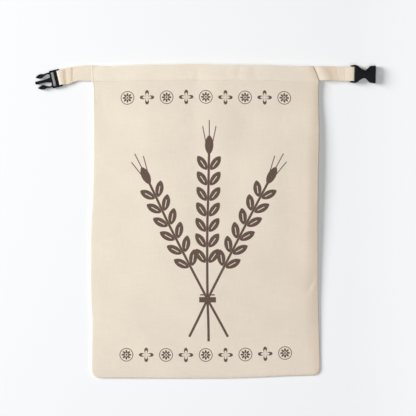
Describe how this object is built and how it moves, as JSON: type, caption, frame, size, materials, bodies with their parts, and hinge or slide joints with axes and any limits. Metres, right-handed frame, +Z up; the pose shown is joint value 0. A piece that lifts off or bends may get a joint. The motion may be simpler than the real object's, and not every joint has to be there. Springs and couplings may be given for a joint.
{
  "type": "bread bag",
  "caption": "Flat roll-top bread bag of cotton canvas, lying empty on its back, with a hemmed open mouth, a strap tab at each side of the mouth and a side-release buckle lying open.",
  "frame": {"origin": "on the surface that the bag lies on, under the middle of the bag", "axes": "+X from the plug towards the socket, +Y from the sewn bottom towards the mouth, +Z up from the surface"},
  "size_m": [0.4544, 0.4191, 0.0105],
  "materials": {
    "canvas": "natural unbleached cotton canvas, plain weave",
    "buckle_plastic": "moulded black plastic, satin"
  },
  "bodies": {
    "root": {"front_panel": "canvas", "back_panel": "canvas", "left_tab": "canvas", "right_tab": "canvas", "buckle_plug": "buckle_plastic", "buckle_socket": "buckle_plastic"}
  },
  "joints": []
}
